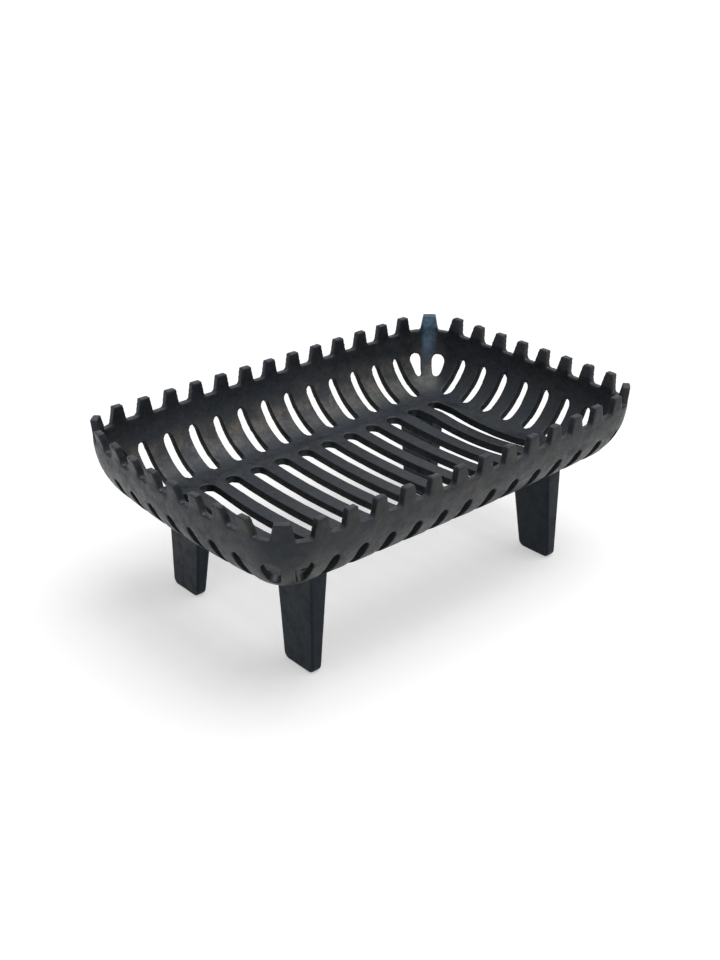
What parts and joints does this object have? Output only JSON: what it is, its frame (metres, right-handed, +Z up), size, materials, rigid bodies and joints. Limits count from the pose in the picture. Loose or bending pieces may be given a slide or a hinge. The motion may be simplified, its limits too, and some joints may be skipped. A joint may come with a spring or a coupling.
{
  "type": "log grate",
  "caption": "Cast-iron log grate: slotted basket with a toothed rim, on tapered legs that slide off tongues.",
  "frame": {"origin": "on the floor, under the middle of the basket", "axes": "+Z up, +X along the basket's long side, -Y towards the front (the two sides are alike)"},
  "size_m": [0.455, 0.2974, 0.175],
  "materials": {
    "basket_iron": "blacked cast iron, satin, with faint brown and blue heat marks",
    "leg_iron": "blacked cast iron, satin"
  },
  "bodies": {
    "basket": {"basket": "basket_iron"},
    "leg_back_right": {"leg_back_right": "leg_iron"},
    "leg_back_left": {"leg_back_left": "leg_iron"},
    "leg_front_left": {"leg_front_left": "leg_iron"},
    "leg_front_right": {"leg_front_right": "leg_iron"}
  },
  "joints": [
    {"name": "slide_back_right", "type": "slide", "parent": "basket", "child": "leg_back_right", "axis": [0, 0, -1], "range_m": [0, 0.014]},
    {"name": "slide_back_left", "type": "slide", "parent": "basket", "child": "leg_back_left", "axis": [0, 0, -1], "range_m": [0, 0.014]},
    {"name": "slide_front_left", "type": "slide", "parent": "basket", "child": "leg_front_left", "axis": [0, 0, -1], "range_m": [0, 0.014]},
    {"name": "slide_front_right", "type": "slide", "parent": "basket", "child": "leg_front_right", "axis": [0, 0, -1], "range_m": [0, 0.014]}
  ]
}
